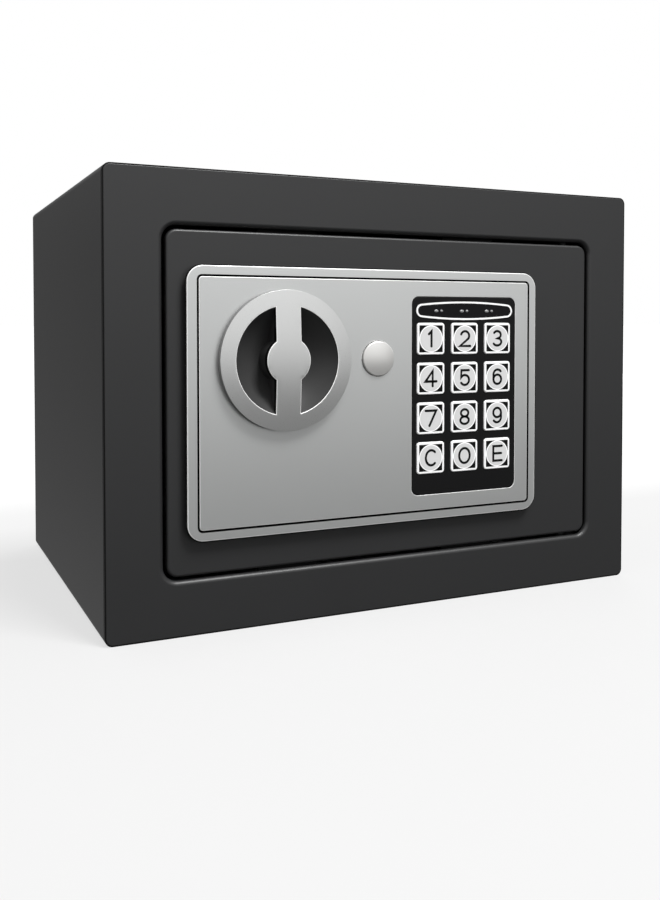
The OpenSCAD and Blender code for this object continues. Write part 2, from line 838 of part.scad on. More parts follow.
module cover_posts() {
    back = cover_back - cover_t;
    color("lightgray") for (x = post_x, s = [-1, 1]) difference() {
        rod_y(x, door_z + s * post_dz, back_depth, back - back_depth, post_r);
        rod_y(x, door_z + s * post_dz, back - post_screw_l, post_screw_l + 1, post_screw_r);
    }
}

module lock_cover() {
    cut = cover_back - 2;
    foot_gap = [0.3, 0.5];                         // round the bolt guide's foot: depth, half height
    color("gray") difference() {
        block([cover_x0, back_depth, cover_z0], [cover_x1, cover_back, cover_z1]);
        block([cover_x0 + cover_t, back_depth - eps, cover_z0 + cover_t],
            [cover_x1 - cover_t, cover_back - cover_t, cover_z1 - cover_t]);
        for (z = [upper_z, lower_z]) rod_x(cover_x0 - eps, 3, bolt_depth, z, bolt_r + 0.6);
        block([cover_x0 - eps, back_depth - eps, door_z - guide_foot_half - foot_gap[1]],
            [cover_x0 + 2, back_depth + guide_foot_t + foot_gap[0], door_z + guide_foot_half + foot_gap[1]]);
        for (x = post_x, s = [-1, 1]) rod_y(x, door_z + s * post_dz, cut, 3, post_screw_r + 0.2);
        rod_y(reset_x, reset_z, cut, 3, reset_r + 0.15);
        block([box_x0 + box_t, cut, box_z0 + box_t], [box_x1 - box_t, cover_back + 1, box_z1 - box_t]);
    }
}

module cover_screws() {
    head = [1.7, 3];                               // thickness, radius
    slot = [0.8, 2, 0.4];                          // depth of its floor, half length, half width
    color("silver") for (x = post_x, s = [-1, 1]) {
        rod_y(x, door_z + s * post_dz, cover_back - post_screw_l, post_screw_l, post_screw_r);
        difference() {
            rod_y(x, door_z + s * post_dz, cover_back, head[0], head[1]);
            for (a = [0, 90]) translate([x, 0, door_z + s * post_dz]) rotate([0, a, 0])
                block([-slot[1], cover_back + slot[0], -slot[2]], [slot[1], cover_back + 3, slot[2]]);
        }
    }
}

module battery_box() {
    color("black") difference() {
        block([box_x0, box_floor, box_z0], [box_x1, cover_back - cover_t, box_z1]);
        block([box_x0 + box_t, box_floor + box_t, box_z0 + box_t],
            [box_x1 - box_t, cover_back + 1, box_z1 - box_t]);
    }
}

// One round cell along X; turn is 1 with its button to the right, -1 to the left.
module cell(z, turn) {
    button_r = 2.7;
    translate([cells_x, 0, 0]) mirror([turn < 0 ? 1 : 0, 0, 0]) {
        rod_x(cell_end - cell_l, cell_l, cell_depth, z, cell_r);
        rod_x(cell_end, 1, cell_depth, z, button_r);
    }
}

module batteries() {
    color("darkorange") for (i = [0:3]) cell(cells_z + (i - 1.5) * cell_pitch, i % 2 == 0 ? 1 : -1);
}

module battery_contacts() {
    plate_half = 5.5;
    plate_depths = [12, 24.5];
    plate_t = 0.5;
    spring_x = -27;
    color("silver") for (i = [0:3]) translate([cells_x, 0, 0]) mirror([i % 2, 0, 0]) {
        z = cells_z + (i - 1.5) * cell_pitch;
        for (x = [spring_x - plate_t, -spring_x])
            block([x, plate_depths[0], z - plate_half], [x + plate_t, plate_depths[1], z + plate_half]);
        translate([spring_x, front_y + cell_depth, z]) rotate([0, 90, 0])
            cylinder(h = cell_end - cell_l - spring_x, r1 = 4, r2 = 2.6);
    }
}

module battery_cover() {
    edge = box_t + 0.2;
    grip_half = 8;
    color("black") {
        block([box_x0 + edge, cover_back - 1.5, box_z0 + edge], [box_x1 - edge, cover_back, box_z1 - edge]);
        block([cells_x - grip_half, cover_back - 0.5, box_z1 - 7],
            [cells_x + grip_half, cover_back + 1.6, box_z1 - 4]);
    }
}

module reset_switch() {
    bore_front = reset_front + 3;
    color("black") difference() {
        rod_y(reset_x, reset_z, reset_front, cover_back - cover_t - reset_front, reset_r + 1.5);
        rod_y(reset_x, reset_z, bore_front, cover_back - bore_front, reset_r + 0.06);
    }
}

module reset_button() {
    color("red") rod_y(reset_x, reset_z, reset_front + 7, 7.5, reset_r);
}

module reset_spring() {
    first = reset_front + 3.35;
    pitch = 1.65;
    color("silver") for (i = [0:2]) translate([reset_x, front_y + first + pitch * i, reset_z])
        rotate([90, 0, 0]) wire_ring(2.4, 0.35);
}

// A lead of round wire through the listed points, each [X, depth, Z], along one axis at a time.
module lead(points, r) {
    for (i = [0:len(points) - 2]) {
        a = points[i];
        b = points[i + 1];
        if (a[0] != b[0]) rod_x(min(a[0], b[0]), abs(b[0] - a[0]), a[1], a[2], r);
        if (a[1] != b[1]) rod_y(a[0], a[2], min(a[1], b[1]), abs(b[1] - a[1]), r);
        if (a[2] != b[2]) rod_z(a[0], a[1], min(a[2], b[2]), abs(b[2] - a[2]), r);
        if (i > 0) translate([a[0], front_y + a[1], a[2]]) sphere(r, $fn = 32);
    }
}

module wiring() {
    start = board_front + board_t;
    coil_z = solenoid_z0 + 20;
    box_lead_z = box_z0 - 4.3;
    color("red") {
        lead([[9, start, coil_z], [9, 6.5, coil_z], [-8, 6.5, coil_z], [-8, coil_depth, coil_z],
            [coil_x + coil_r, coil_depth, coil_z]], wire_r);
        lead([[22, start, box_lead_z], [22, 13, box_lead_z], [22, 13, box_z0]], wire_r);
    }
}

body_shell();
front_frame();
back_panel();
hinge_brackets();
hinge_pins();
door_stops();
floor_mat();
door_plate();
hinge_barrels();
fascia_bezel();
face_plate();
keypad_panel();
led_window();
status_leds();
keypad_membrane();
circuit_board();
buzzer();
bolt_guide();
guide_studs();
cover_posts();
lock_cover();
cover_screws();
battery_box();
batteries();
battery_contacts();
solenoid_frame();
solenoid_coil();
knob_bushing();
lock_barrel();
lock_nut();
reset_switch();
wiring();
key_1();
key_2();
key_3();
key_4();
key_5();
key_6();
key_7();
key_8();
key_9();
key_c();
key_0();
key_e();
knob_dial();
knob_bowl();
drive_cam();
cam_screws();
bolt_carriage();
bolt_upper();
bolt_lower();
bolt_screws();
override_cap();
lock_plug();
lock_cam();
solenoid_plunger();
plunger_spring();
reset_button();
reset_spring();
battery_cover();
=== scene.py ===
"""Looks of a small electronic safe: sheet-steel cabinet, hinged door, silver fascia, knob and keypad.

Shapes are built in millimetres as (x, depth, z), where depth runs inwards from the cabinet's front face.
They become metres in the row's frame when a piece is finished.
"""

import math
from types import SimpleNamespace

import bmesh
import bpy
from mathutils import Matrix, Vector, geometry, noise


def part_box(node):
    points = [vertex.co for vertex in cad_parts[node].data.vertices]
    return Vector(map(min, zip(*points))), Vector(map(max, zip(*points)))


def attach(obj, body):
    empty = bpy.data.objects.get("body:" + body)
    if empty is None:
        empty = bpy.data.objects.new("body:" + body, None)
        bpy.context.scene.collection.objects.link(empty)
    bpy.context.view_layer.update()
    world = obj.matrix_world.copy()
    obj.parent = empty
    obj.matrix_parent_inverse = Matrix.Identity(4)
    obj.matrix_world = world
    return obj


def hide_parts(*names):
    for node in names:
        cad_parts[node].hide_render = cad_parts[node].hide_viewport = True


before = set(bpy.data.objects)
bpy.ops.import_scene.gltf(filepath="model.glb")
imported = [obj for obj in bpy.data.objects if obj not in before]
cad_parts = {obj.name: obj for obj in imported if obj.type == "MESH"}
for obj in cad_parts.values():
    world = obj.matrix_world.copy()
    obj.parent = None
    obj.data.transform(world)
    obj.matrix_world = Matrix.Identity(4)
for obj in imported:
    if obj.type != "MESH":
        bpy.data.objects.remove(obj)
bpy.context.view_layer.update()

MM = 0.001
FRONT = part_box("front_frame")[0].y


# ---------------------------------------------------------------- places taken from the frame


def place(node):
    """A CAD node's box in millimetres: its centre, size, sides, and its front and back depth."""
    low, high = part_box(node)
    left, right, bottom, top = low.x / MM, high.x / MM, low.z / MM, high.z / MM
    return SimpleNamespace(
        x=(left + right) / 2, z=(bottom + top) / 2, w=right - left, h=top - bottom,
        left=left, right=right, bottom=bottom, top=top,
        front=(low.y - FRONT) / MM, back=(high.y - FRONT) / MM,
    )


def stretched(box, right, down):
    """A place with its right edge moved out and its bottom edge moved down, in millimetres."""
    box.right += right
    box.bottom -= down
    box.x, box.z = (box.left + box.right) / 2, (box.bottom + box.top) / 2
    box.w, box.h = box.right - box.left, box.top - box.bottom
    return box


shell = place("body_shell")
door = stretched(place("door_plate"), right=0.9, down=0.5)
bezel = place("fascia_bezel")
tray = place("face_plate")
panel = place("keypad_panel")
window = place("led_window")
dial = place("knob_dial")
bowl = place("knob_bowl")
cap = place("override_cap")
lamps = place("status_leds")
mat = place("floor_mat")
cells = place("batteries")

opening_gap = 1.35
opening_r = 5.35
anchor_x = 60
mat_hole_r = 7.5
well_r = 23.4
knob_hole_r = 22.2
lock_hole_r = 6.2
groove_w = 0.8
panel_r = 3
panel_wall = 1.2
window_h = 6.9
window_r = 2.4
key_size = 12.6
key_r = 1.25
cell_pitch = 14.7


# ---------------------------------------------------------------- outlines


def round_rect(x, z, w, h, r, steps=10):
    """An outline that can grow: called with a distance, it gives its points anticlockwise."""
    def outline(grow=0.0):
        radius = max(r + grow, 0.02)
        half_w, half_h = w / 2 + grow - radius, h / 2 + grow - radius
        points = []
        for corner, (i, j) in enumerate(((1, 1), (-1, 1), (-1, -1), (1, -1))):
            for step in range(steps + 1):
                a = math.radians(90 * (corner + step / steps))
                across, up = radius * math.cos(a), radius * math.sin(a)
                points.append((x + i * half_w + across, z + j * half_h + up))
        return points
    return outline


def disc(x, z, r, steps=96):
    """A circle that can grow."""
    def outline(grow=0.0):
        turns = [2 * math.pi * i / steps for i in range(steps)]
        return [(x + (r + grow) * math.cos(a), z + (r + grow) * math.sin(a)) for a in turns]
    return outline


def arc(x, z, rx, rz, start, end, steps=24):
    """Points along an arc of an ellipse, with both ends, angles in degrees."""
    turns = [math.radians(start + (end - start) * i / steps) for i in range(steps + 1)]
    return [(x + rx * math.cos(a), z + rz * math.sin(a)) for a in turns]


def lens(x, z, w, h, end_r, steps=20):
    """Two shallow arcs that run smoothly into round ends."""
    end_x = w / 2 - end_r
    arc_r = (end_x**2 + h * h / 4 - end_r**2) / (h - 2 * end_r)
    lean = math.degrees(math.asin(end_x / (arc_r - end_r)))
    offset = arc_r - h / 2

    def outline(grow=0.0):
        r, e = arc_r + grow, end_r + grow
        return (
            arc(x + end_x, z, e, e, lean - 90, 90 - lean, steps)[:-1]
            + arc(x, z - offset, r, r, 90 - lean, 90 + lean, steps)[:-1]
            + arc(x - end_x, z, e, e, 90 + lean, 270 - lean, steps)[:-1]
            + arc(x, z + offset, r, r, 270 - lean, 270 + lean, steps)[:-1]
        )
    return outline


def fixed(points):
    """An outline that doesn't grow."""
    def outline(grow=0.0):
        return points
    return outline


def grip_hole(x, z, ring_r, bar_half, hub_r, side, steps=36):
    """The gap between the dial's ring, its bar and its hub, on one side: 1 right, -1 left."""
    def outline(grow=0.0):
        ring, bar, hub = ring_r + grow, bar_half - grow, hub_r - grow
        tip = math.degrees(math.acos(bar / ring))
        root = math.degrees(math.acos(bar / hub))
        points = arc(0, 0, ring, ring, -tip, tip, 2 * steps) + arc(0, 0, hub, hub, root, -root, steps)
        points = [(x + side * px, z + pz) for px, pz in points]
        return points if side > 0 else points[::-1]
    return outline


# ---------------------------------------------------------------- mesh building


def edge(front, back, front_r=0.4, back_r=0.0, hole=False, steps=4, arris=None, side=None):
    """A wall's section from front to back, as (grow, depth, material) triples.

    The material is that of the faces after the point: arris on the rounded front edge, side behind it, and
    None for the plate's own.
    """
    sign = 1 if hole else -1
    quarter = [math.pi / 2 * i / steps for i in range(steps + 1)]
    section = [(0, front, side)]
    if front_r:
        section = []
        for a in quarter[:-1]:
            grow, depth = front_r * (1 - math.sin(a)), front_r * (1 - math.cos(a))
            section.append((sign * grow, front + depth, arris))
        section.append((0, front + front_r, side))
    if not back_r:
        return section + [(0, back, side)]
    for a in quarter:
        grow, depth = back_r * (1 - math.cos(a)), back_r * (1 - math.sin(a))
        section.append((sign * grow, back - depth, side))
    return section


def inside(x, z, loop):
    """True where a point lies within a loop, counted by the edges to its right."""
    hit = False
    for (x0, z0), (x1, z1) in zip(loop, loop[1:] + loop[:1]):
        if (z0 > z) != (z1 > z) and x < x0 + (z - z0) * (x1 - x0) / (z1 - z0):
            hit = not hit
    return hit


def fill(bm, loops, depth_at=None, pitch=0, material=0):
    """Faces across the first loop, less the others; with a pitch, a grid of points follows depth_at."""
    flat = [[(v.co.x, v.co.z) for v in loop] for loop in loops]
    points = [Vector(p) for loop in flat for p in loop]
    verts = [v for loop in loops for v in loop]

    def covered(x, z):
        return inside(x, z, flat[0]) and not any(inside(x, z, hole) for hole in flat[1:])

    edges, start = [], 0
    for loop in flat:
        edges += [(start + i, start + (i + 1) % len(loop)) for i in range(len(loop))]
        start += len(loop)
    clear = 0.6 * pitch
    for x, z in grid(flat[0], pitch) if pitch else ():
        near = min((x - p) ** 2 + (z - q) ** 2 for loop in flat for p, q in loop)
        if near > clear**2 and covered(x, z):
            points.append(Vector((x, z)))
            verts.append(bm.verts.new((x, depth_at(x, z), z)))
    places, _, triangles, sources, *_ = geometry.delaunay_2d_cdt(points, edges, [], 0, 1e-5)
    for tri in triangles:
        x = sum(places[i].x for i in tri) / 3
        z = sum(places[i].y for i in tri) / 3
        if covered(x, z):
            corners = [verts[sources[i][0]] for i in tri]
            if len(set(corners)) == 3 and bm.faces.get(corners) is None:
                bm.faces.new(corners).material_index = material


def grid(loop, pitch):
    """Points at the pitch across a loop's box."""
    xs, zs = zip(*loop)
    for i in range(1, int((max(xs) - min(xs)) / pitch) + 1):
        for j in range(1, int((max(zs) - min(zs)) / pitch) + 1):
            yield min(xs) + i * pitch, min(zs) + j * pitch


def wall(bm, outline, section, rise=None, material=0):
    """Quads through an outline's loops along its section. Gives the first and the last loop.

    The rise lifts only what lies within a millimetre of the section's front.
    """
    loops = []
    lifted_to = section[0][1] + 1.01
    for grow, depth, *_ in section:
        loop = []
        for x, z in outline(grow):
            lift = rise(x, z) if rise and depth <= lifted_to else 0
            loop.append(bm.verts.new((x, depth + lift, z)))
        loops.append(loop)
    for one, two, point in zip(loops, loops[1:], section):
        own = point[2] if len(point) > 2 and point[2] is not None else material
        for i in range(len(one)):
            j = (i + 1) % len(one)
            bm.faces.new((one[i], one[j], two[j], two[i])).material_index = own
    return loops[0], loops[-1]


def plate(bm, walls, rise=None, pitch=0, material=0):
    """A closed plate: the first (outline, section) is its outside and the others are its holes."""
    ends = [wall(bm, outline, section, rise, material) for outline, section in walls]
    top = walls[0][1][0][1]

    def face_depth(x, z):
        return top + rise(x, z)

    fill(bm, [front for front, back in ends], face_depth, pitch, material)
    fill(bm, [back for front, back in ends], material=material)


def turned(bm, x, z, section, steps=96, material=0):
    """A turned shape about an axis along the depth, from (radius, depth) pairs; a radius of 0 closes it."""
    rings = []
    for r, depth in section:
        if r == 0:
            rings.append([bm.verts.new((x, depth, z))])
            continue
        turns = [2 * math.pi * i / steps for i in range(steps)]
        rings.append([bm.verts.new((x + r * math.cos(a), depth, z + r * math.sin(a))) for a in turns])
    for one, two in zip(rings, rings[1:]):
        for i in range(steps):
            j = (i + 1) % steps
            corners = [one[i % len(one)], one[j % len(one)], two[j % len(two)], two[i % len(two)]]
            corners = list(dict.fromkeys(corners))
            bm.faces.new(corners).material_index = material


def join(bm, part, matrix):
    """Adds a finished part to a mesh, moved by the matrix."""
    part.transform(matrix)
    mesh = bpy.data.meshes.new("part")
    part.to_mesh(mesh)
    part.free()
    bm.from_mesh(mesh)
    bpy.data.meshes.remove(mesh)


def ribbon(bm, points, width, front, back, material=0, closed=False):
    """A stroke of the given width along points, as a thin closed strip; open strokes have round ends."""
    half = width / 2
    pairs = [[offset_point(points, i, side * half, closed) for side in (1, -1)] for i in range(len(points))]
    if not closed:
        start = round_end(points[0], points[1], half)[::-1]
        pairs = start + pairs + round_end(points[-1], points[-2], half, True)
    rings = []
    for left, right in pairs:
        corners = ((left, front), (right, front), (right, back), (left, back))
        rings.append([bm.verts.new((x, depth, z)) for (x, z), depth in corners])
    for one, two in zip(rings, rings[1:] + (rings[:1] if closed else [])):
        for i in range(4):
            j = (i + 1) % 4
            bm.faces.new((one[i], one[j], two[j], two[i])).material_index = material
    if not closed:
        for ring in (rings[0], rings[-1]):
            bm.faces.new(ring).material_index = material


def round_end(end, before, half, forward=False, steps=5):
    """Pairs of points that close a stroke in a half circle past its end."""
    along = (Vector(end) - Vector(before)).normalized()
    across = Vector((-along.y, along.x)) * (1 if forward else -1)
    pairs = []
    for i in range(1, steps + 1):
        a = math.pi / 2 * i / steps
        centre = Vector(end) + along * (half * math.sin(a))
        reach = across * max(half * math.cos(a), 0.02)
        pairs.append((tuple(centre + reach), tuple(centre - reach)))
    return pairs


def offset_point(points, i, distance, closed):
    """The point beside points[i], to the left of travel, mitred at the corner."""
    n = len(points)
    before = points[(i - 1) % n] if closed or i > 0 else None
    after = points[(i + 1) % n] if closed or i < n - 1 else None
    here = Vector(points[i])
    into = (here - Vector(before)).normalized() if before else None
    out = (Vector(after) - here).normalized() if after else None
    into, out = into or out, out or into
    normal = Vector((-into.y - out.y, into.x + out.x)).normalized()
    reach = max(normal.dot(Vector((-out.y, out.x))), 0.4)
    p = here + normal * (distance / reach)
    return (p.x, p.y)


def finish_piece(bm, name, body, nodes=(), materials=(), angle=32):
    """Turns the mesh into a piece in the row frame that rides on a body and stands for CAD nodes."""
    bmesh.ops.remove_doubles(bm, verts=bm.verts, dist=1e-4)
    bmesh.ops.recalc_face_normals(bm, faces=bm.faces)
    for v in bm.verts:
        v.co = (v.co.x * MM, FRONT + v.co.y * MM, v.co.z * MM)
    mesh = bpy.data.meshes.new(name)
    bm.to_mesh(mesh)
    bm.free()
    for material in materials:
        mesh.materials.append(material)
    mesh.shade_smooth()
    mesh.set_sharp_from_angle(angle=math.radians(angle))
    obj = bpy.data.objects.new(name, mesh)
    bpy.context.scene.collection.objects.link(obj)
    weigh(obj)
    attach(obj, body)
    if nodes:
        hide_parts(*nodes)
    return obj


def weigh(obj):
    """Large flat faces keep their own normals beside a rounded arris."""
    modifier = obj.modifiers.new("weigh", "WEIGHTED_NORMAL")
    modifier.keep_sharp = True
    modifier.weight = 80


def dress(node, material, arris=0.3):
    """A CAD node shown as it is, with eased arrises and its own material."""
    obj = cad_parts[node]
    for i in range(len(obj.material_slots)):
        obj.material_slots[i].material = material
    if arris:
        bevel = obj.modifiers.new("arris", "BEVEL")
        bevel.width = arris * MM
        bevel.segments = 2
        bevel.limit_method = "ANGLE"
        bevel.angle_limit = math.radians(40)
        weigh(obj)


# ---------------------------------------------------------------- materials

BROAD_GRAIN = 25


def ramp_between(nodes, links, source, low, high):
    """Maps a 0..1 value to the range low..high."""
    node = nodes.new("ShaderNodeMapRange")
    node.inputs["To Min"].default_value = low
    node.inputs["To Max"].default_value = high
    links.new(source, node.inputs["Value"])
    return node.outputs["Result"]


def math_node(nodes, links, operation, one, two):
    """A node that works on two values, each a socket or a number."""
    node = nodes.new("ShaderNodeMath")
    node.operation = operation
    for socket, value in zip(node.inputs, (one, two)):
        if isinstance(value, (int, float)):
            socket.default_value = value
        else:
            links.new(value, socket)
    return node.outputs[0]


def noise_node(nodes, links, coordinates, scale, detail, stretch=(1, 1, 1)):
    """Noise of the given scale, in coordinates that can be stretched along an axis."""
    mapping = nodes.new("ShaderNodeMapping")
    mapping.inputs["Scale"].default_value = stretch
    links.new(coordinates, mapping.inputs["Vector"])
    node = nodes.new("ShaderNodeTexNoise")
    node.inputs["Scale"].default_value = scale
    node.inputs["Detail"].default_value = detail
    links.new(mapping.outputs["Vector"], node.inputs["Vector"])
    return node.outputs["Fac"]


def surface(name, colour, roughness, tint=0.06, rough_swing=0.05, grain=1500, relief=0.02, metallic=0.0,
            specular=0.5, stretch=(1, 1, 1), coat=0.0, sheen=0.0, detail=3.0):
    """A Principled finish whose tint, gloss and relief come from noise.

    The grain is in cycles per metre and the relief in millimetres.
    """
    material = bpy.data.materials.new(name)
    material.use_nodes = True
    nodes, links = material.node_tree.nodes, material.node_tree.links
    shader = nodes["Principled BSDF"]
    where = nodes.new("ShaderNodeTexCoord").outputs["Object"]
    fine = noise_node(nodes, links, where, grain, detail, stretch)
    broad = noise_node(nodes, links, where, BROAD_GRAIN, 2.0)
    level = ramp_between(nodes, links, math_node(nodes, links, "ADD", fine, broad), -0.5, 0.5)
    mix = nodes.new("ShaderNodeMix")
    mix.data_type = "RGBA"
    links.new(ramp_between(nodes, links, level, 0.5, 1.5), mix.inputs["Factor"])
    dark, light = (tuple(min(c * (1 + s * tint), 1) for c in colour) + (1,) for s in (-1, 1))
    mix.inputs["A"].default_value = dark
    mix.inputs["B"].default_value = light
    links.new(mix.outputs["Result"], shader.inputs["Base Color"])
    links.new(ramp_between(nodes, links, fine, roughness - rough_swing, roughness + rough_swing),
              shader.inputs["Roughness"])
    bump = nodes.new("ShaderNodeBump")
    bump.inputs["Strength"].default_value = 0.6
    bump.inputs["Distance"].default_value = relief * MM
    links.new(fine, bump.inputs["Height"])
    links.new(bump.outputs["Normal"], shader.inputs["Normal"])
    shader.inputs["Metallic"].default_value = metallic
    shader.inputs["Specular IOR Level"].default_value = specular
    shader.inputs["Coat Weight"].default_value = coat
    shader.inputs["Coat Roughness"].default_value = 0.1
    shader.inputs["Sheen Weight"].default_value = sheen
    return material


paint = surface("powder_coat", (0.0165, 0.0167, 0.0172), 0.42, tint=0.12, grain=1800, relief=0.012,
                specular=0.45)
silver = surface("silver_moulding", (0.60, 0.61, 0.605), 0.31, tint=0.03, grain=5000, relief=0.003,
                 metallic=0.78)
silver_plate = surface("silver_plate", (0.60, 0.61, 0.605), 0.31, tint=0.03, grain=5000, relief=0.003,
                       metallic=0.78)
silver_knob = surface("silver_knob", (0.62, 0.625, 0.62), 0.28, tint=0.008, rough_swing=0.015, grain=5000,
                      relief=0.0004, metallic=0.8)
# Far lighter than the silver and put on rounded edges: a painted highlight.
painted_edge_highlight = surface("edge_painted_highlight", (0.92, 0.92, 0.91), 0.35, tint=0.01, grain=3000, relief=0.001,
                      metallic=0.25)
# Dark grey, on the dial's outer side wall: painted shade.
knob_side_shade = surface("knob_side_shade", (0.15, 0.15, 0.15), 0.4, tint=0.05, grain=3000, relief=0.003,
                    metallic=0.2)
silver_cap = surface("silver_cap", (0.66, 0.655, 0.64), 0.34, tint=0.03, grain=5000, relief=0.003,
                     metallic=0.6)
black_satin = surface("panel_black", (0.0050, 0.0050, 0.0052), 0.5, tint=0.12, grain=2600, relief=0.006,
                      specular=0.12)
black_smooth = surface("bowl_black", (0.034, 0.034, 0.034), 0.5, tint=0.12, grain=2200, relief=0.003,
                       specular=0.25)
# Near black, put in seams, grooves and along the sides of holes and plates: painted shade.
painted_shade_black = surface("painted_shade_black", (0.003, 0.003, 0.003), 0.7, tint=0.2, grain=2000, relief=0.01,
                       specular=0.1)
smoke = surface("smoked_window", (0.004, 0.004, 0.0045), 0.16, tint=0.1, rough_swing=0.02, grain=900,
                relief=0.001, specular=0.09)
print_white = surface("white_print", (0.90, 0.90, 0.90), 0.5, tint=0.02, grain=3000, relief=0.003)
lamp_grey = surface("lamp_lens", (0.22, 0.22, 0.22), 0.22, tint=0.2, grain=2500, relief=0.004, coat=0.4)
key_white = surface("key_white", (0.90, 0.90, 0.90), 0.34, tint=0.015, grain=3500, relief=0.003)
key_grey = surface("key_disc", (0.60, 0.60, 0.60), 0.40, tint=0.02, grain=3500, relief=0.004)
ink = surface("key_ink", (0.003, 0.003, 0.003), 0.5, tint=0.2, grain=3000, relief=0.003, specular=0.12)
zinc = surface("zinc_plate", (0.56, 0.57, 0.60), 0.30, tint=0.10, rough_swing=0.08, grain=900,
               relief=0.01, metallic=1.0)
steel = surface("ground_steel", (0.58, 0.58, 0.59), 0.26, tint=0.06, grain=1400, relief=0.006,
                metallic=1.0, stretch=(1, 14, 14))
chrome = surface("nickel_plate", (0.68, 0.67, 0.66), 0.14, tint=0.03, rough_swing=0.04, grain=700,
                 relief=0.001, metallic=1.0)
# Dark zinc for the bolts and their guide, kept dark also to stand in for shade in the door gap: partly
# painted shade.
dark_zinc_and_gap_shade = surface("dark_zinc_and_gap_shade", (0.07, 0.07, 0.075), 0.34, tint=0.1, grain=1400, relief=0.006,
                     metallic=0.9)
brass = surface("turned_brass", (0.60, 0.42, 0.16), 0.26, tint=0.08, grain=1800, relief=0.004,
                metallic=1.0, stretch=(1, 8, 1))
# Near black, for parts seen through the door gap: painted shade.
gap_shade_paint = surface("painted_gap_shade", (0.006, 0.006, 0.006), 0.7, tint=0.2, grain=1200, relief=0.02,
                     specular=0.1)
dark_pin = surface("blackened_steel", (0.02, 0.02, 0.02), 0.5, tint=0.2, grain=1500, relief=0.008,
                   metallic=0.6)
cover_paint = surface("cover_coat", (0.050, 0.051, 0.053), 0.50, tint=0.10, grain=1500, relief=0.02,
                      specular=0.35)
black_moulding = surface("black_moulding", (0.014, 0.014, 0.015), 0.48, tint=0.15, grain=1700,
                         relief=0.02)
felt = surface("needled_felt", (0.042, 0.044, 0.048), 0.95, tint=0.45, grain=1100, relief=0.35, sheen=0.4,
               specular=0.1, detail=8.0, rough_swing=0.03, stretch=(1, 0.55, 1))
rubber = surface("silicone", (0.07, 0.07, 0.075), 0.6, tint=0.1, grain=1200, relief=0.02)
board = surface("solder_mask", (0.015, 0.09, 0.035), 0.35, tint=0.2, grain=420, relief=0.03, coat=0.3)
amber = surface("coil_tape", (0.30, 0.10, 0.02), 0.3, tint=0.2, grain=600, relief=0.03, coat=0.3,
                stretch=(1, 1, 6))
acetal = surface("natural_acetal", (0.66, 0.63, 0.54), 0.45, tint=0.04, grain=1200, relief=0.01)
button_red = surface("red_button", (0.42, 0.015, 0.012), 0.3, tint=0.08, grain=1500, relief=0.006)
sleeve_red = surface("red_sleeve", (0.38, 0.015, 0.012), 0.4, tint=0.1, grain=1200, relief=0.01)
cell_blue = surface("cell_sleeve", (0.03, 0.06, 0.11), 0.25, tint=0.1, grain=800, relief=0.004, coat=0.5)


# ---------------------------------------------------------------- cabinet


def build_front_frame():
    """The front plate with a rolled lip round the opening, a seam at its edge painted near black as shade,
    and the wrap behind.
    """
    corner_r, lip_r = 2.8, 1.7
    seam_w, seam_front, seam_back = 0.42, 0.15, 0.8
    step_w, step_depth, core_w = 0.7, 1.3, 0.2
    outside = round_rect(0, shell.z, shell.w, shell.h, corner_r)
    opening_w, opening_h = door.w + 2 * opening_gap, door.h + 2 * opening_gap
    opening = round_rect(door.x, door.z, opening_w, opening_h, opening_r)
    bm = bmesh.new()
    face = [(grow - seam_w, depth) for grow, depth, _ in edge(0, shell.front, 0.3)]
    plate(bm, [(outside, face), (opening, edge(0, shell.front, lip_r, hole=True, steps=8))])
    ring = [(0, seam_front), (0, seam_back)]
    core = [(-seam_w - core_w, seam_front), (-seam_w - core_w, seam_back)]
    # The seam's band and core are near black: painted shade for the dark line where the front meets the
    # sides.
    plate(bm, [(outside, ring), (outside, core)], material=1)
    wrap = [(0, seam_back), (0, step_depth), (-step_w, step_depth + 0.15), (-step_w, shell.front)]
    core = [(-step_w - core_w, seam_back), (-step_w - core_w, shell.front)]
    plate(bm, [(outside, wrap), (outside, core)])
    materials = [paint, painted_shade_black]
    finish_piece(bm, "front_frame_sheet", "cabinet", ["front_frame"], materials)


def build_floor_mat():
    """Felt cut to the floor, with holes over the anchors: slightly wavy, and lying on the sheet."""
    bm = bmesh.new()
    wide, deep, corner_r = mat.w, mat.back - mat.front, 2
    middle = -FRONT / MM
    outline = round_rect(mat.x, (mat.front + mat.back) / 2, wide, deep, corner_r, 4)
    holes = [disc(side * anchor_x, middle, mat_hole_r, 32) for side in (-1, 1)]
    loops = [shape() for shape in [outline] + holes]
    wave, wave_pitch, face_pitch = 0.12, 35, 4

    def top_at(x, y):
        return mat.top + wave * noise.noise(Vector((x / wave_pitch, y / wave_pitch, 2.0)))

    underside = [[bm.verts.new((x, mat.bottom, y)) for x, y in loop] for loop in loops]
    topside = [[bm.verts.new((x, top_at(x, y), y)) for x, y in loop] for loop in loops]
    for lower, upper in zip(underside, topside):
        for i in range(len(lower)):
            j = (i + 1) % len(lower)
            bm.faces.new((lower[i], lower[j], upper[j], upper[i]))
    fill(bm, underside)
    fill(bm, topside, top_at, face_pitch)
    for v in bm.verts:
        v.co = (v.co.x, v.co.z, v.co.y)
    piece = finish_piece(bm, "felt_mat", "cabinet", ["floor_mat"], [felt])


def dress_cabinet():
    """Materials for the cabinet's shell, back, hinge and stops, which keep the CAD's shapes."""
    dress("body_shell", paint, 0.25)
    dress("back_panel", paint, 0.3)
    # The hinge brackets and door stops, seen through the door gap, are near black: painted shade.
    dress("hinge_brackets", gap_shade_paint, 0.3)
    dress("door_stops", gap_shade_paint, 0.3)
    dress("hinge_pins", dark_pin, 0.25)


# ---------------------------------------------------------------- door and fascia


def hole_of(outline, front, back, r):
    """A hole's wall with an eased front edge."""
    return outline, edge(front, back, r, hole=True)


